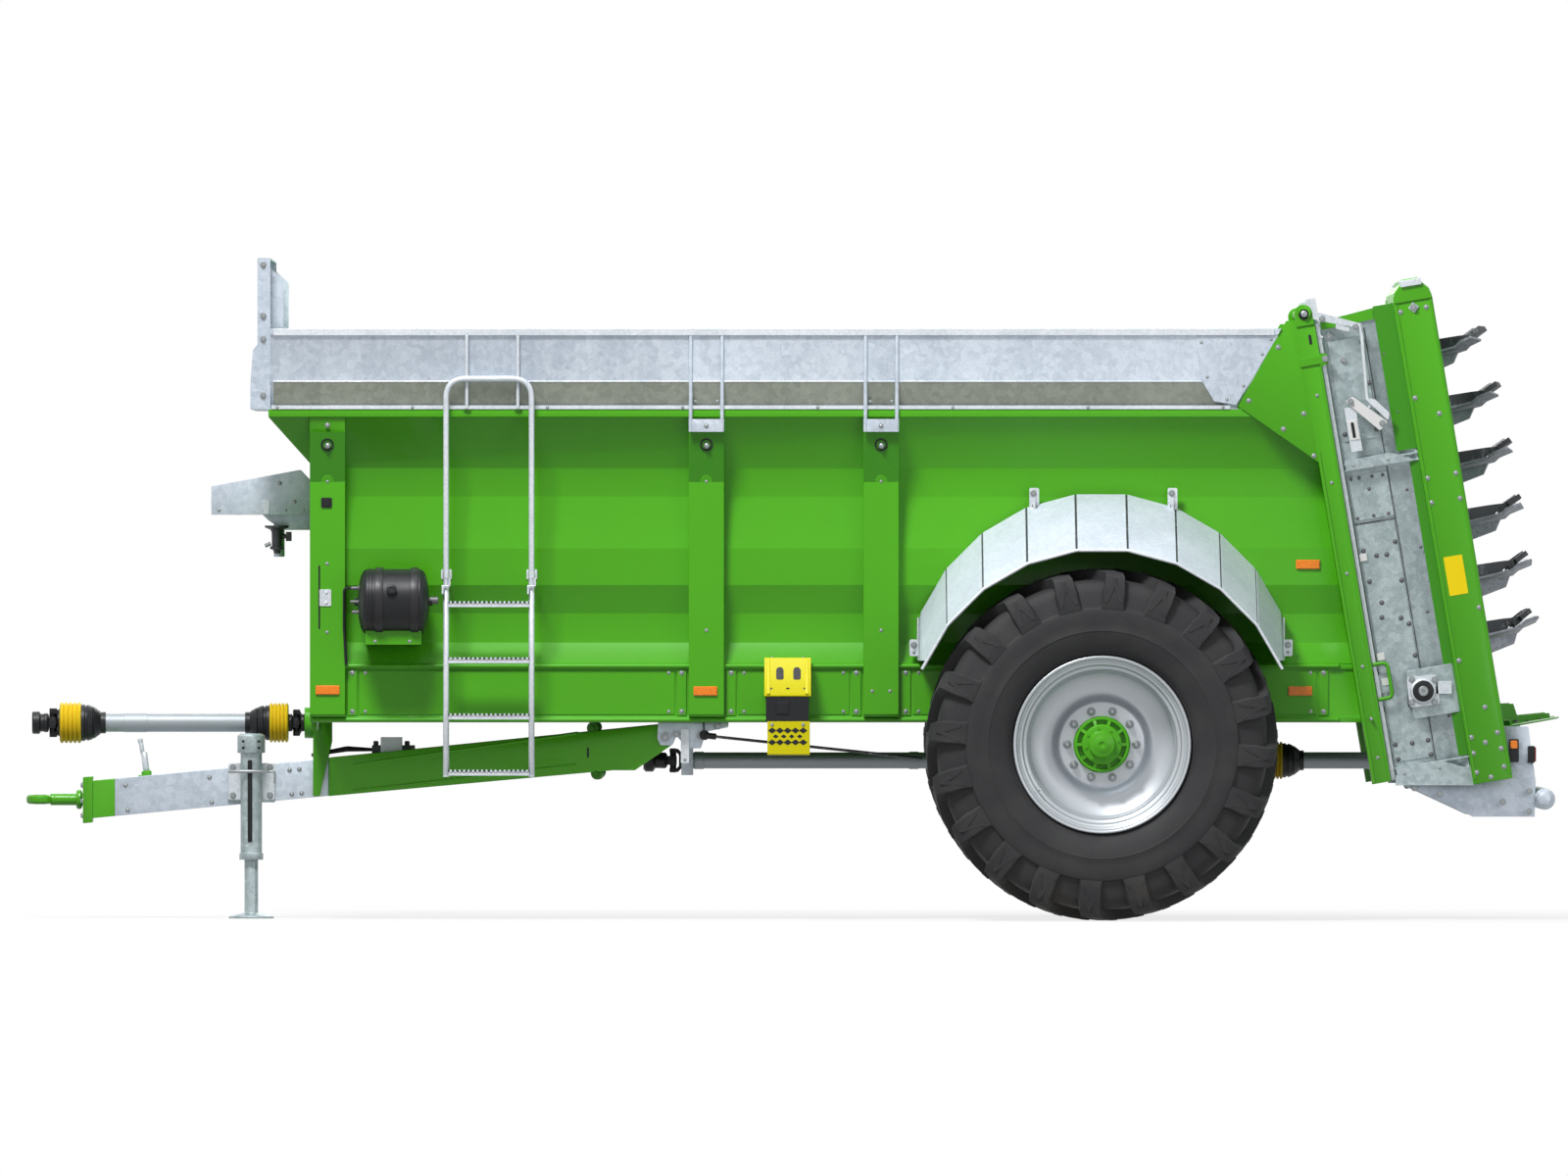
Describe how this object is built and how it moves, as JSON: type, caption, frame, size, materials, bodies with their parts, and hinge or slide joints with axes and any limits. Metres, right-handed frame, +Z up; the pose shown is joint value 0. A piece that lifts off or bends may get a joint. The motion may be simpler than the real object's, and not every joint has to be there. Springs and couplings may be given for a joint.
{
  "type": "manure spreader",
  "caption": "Towed single-axle manure spreader: ribbed tub with scraper floor, sliding rear gate, upright spreading beaters, drawbar with hitch eye and parking jack.",
  "frame": {"origin": "on the ground, under the middle of the overall length and width", "axes": "+X to the rear of the machine, the hitch eye is at -X; +Y to its right side; +Z up"},
  "size_m": [7.84, 2.934, 3.3703],
  "materials": {
    "green_paint": "gloss farm-machine green paint",
    "galvanised": "hot-dip galvanised sheet with spangle",
    "silver_paint": "silver wheel paint",
    "tyre_rubber": "matt black farm tyre rubber",
    "black_plastic": "black enamel and guard plastic",
    "yellow_plastic": "bright yellow moulded plastic",
    "bare_steel": "bare drawn and rolled steel",
    "dark_steel": "dark wear-steel paint"
  },
  "bodies": {
    "chassis": {"axle_beam": "green_paint", "chassis_rail_left": "green_paint", "chassis_rail_right": "green_paint", "cross_member_middle": "green_paint", "cross_member_axle": "green_paint", "tub_side_left": "green_paint", "tub_side_right": "green_paint", "tub_front": "green_paint", "tub_floor": "green_paint", "side_post_front_left": "green_paint", "side_post_front_right": "green_paint", "side_post_middle_left": "green_paint", "side_post_middle_right": "green_paint", "side_post_rear_left": "green_paint", "side_post_rear_right": "green_paint", "side_board_left": "galvanised", "side_board_right": "galvanised", "headboard": "galvanised", "mudguard_left": "galvanised", "mudguard_right": "galvanised", "gate_guide_left": "galvanised", "gate_guide_right": "galvanised", "housing_wall_left": "galvanised", "housing_wall_right": "galvanised", "rear_skirt": "galvanised", "drawbar_box": "galvanised", "pivot_frame": "galvanised", "jack_tube": "galvanised", "ladder_rails": "galvanised", "hose_tray": "galvanised", "rear_post_left": "green_paint", "rear_post_right": "green_paint", "gate_beam": "green_paint", "rear_channel_left": "green_paint", "rear_channel_right": "green_paint", "beater_top_beam": "green_paint", "gear_beam": "green_paint", "hitch_eye": "green_paint", "drawbar_head": "green_paint", "drawbar_fork": "green_paint", "drawbar_guide": "green_paint", "floor_chain": "bare_steel", "floor_shaft_rear": "bare_steel", "floor_shaft_front": "bare_steel", "lower_drive_shaft": "bare_steel", "air_tank": "black_plastic", "front_drive_shaft": "black_plastic", "wheel_chock": "yellow_plastic"},
    "wheel_left": {"tyre_left": "tyre_rubber", "rim_left": "silver_paint", "hub_left": "green_paint"},
    "wheel_right": {"tyre_right": "tyre_rubber", "rim_right": "silver_paint", "hub_right": "green_paint"},
    "gate": {"rear_gate": "green_paint"},
    "beater_rotor_left": {"beater_left": "dark_steel"},
    "beater_rotor_right": {"beater_right": "dark_steel"},
    "jack_foot": {"jack_leg": "galvanised"},
    "ladder_lower": {"ladder_steps": "galvanised"}
  },
  "joints": [
    {"name": "wheel_left_spin", "type": "hinge", "parent": "chassis", "child": "wheel_left", "pos_m": [1.57457, -1.1445, 0.895], "axis": [0, 1, 0], "continuous": true},
    {"name": "wheel_right_spin", "type": "hinge", "parent": "chassis", "child": "wheel_right", "pos_m": [1.57457, 1.1445, 0.895], "axis": [0, 1, 0], "continuous": true},
    {"name": "beater_left_spin", "type": "hinge", "parent": "chassis", "child": "beater_rotor_left", "pos_m": [3.51763, -0.43, 0.95759], "axis": [-0.165, 0, 0.9863], "continuous": true},
    {"name": "beater_right_spin", "type": "hinge", "parent": "chassis", "child": "beater_rotor_right", "pos_m": [3.51763, 0.43, 0.95759], "axis": [-0.165, 0, 0.9863], "continuous": true},
    {"name": "gate_slide", "type": "slide", "parent": "chassis", "child": "gate", "axis": [-0.165, 0, 0.9863], "range_m": [0, 1]},
    {"name": "jack_slide", "type": "slide", "parent": "chassis", "child": "jack_foot", "axis": [0, 0, 1], "range_m": [0, 0.25]},
    {"name": "ladder_fold", "type": "hinge", "parent": "chassis", "child": "ladder_lower", "pos_m": [-1.54293, -0.969, 1.7], "axis": [-1, 0, 0], "range_deg": [0, 175]}
  ],
  "couplings": [
    {"joint": "beater_right_spin", "follows": "beater_left_spin", "ratio": -1}
  ]
}
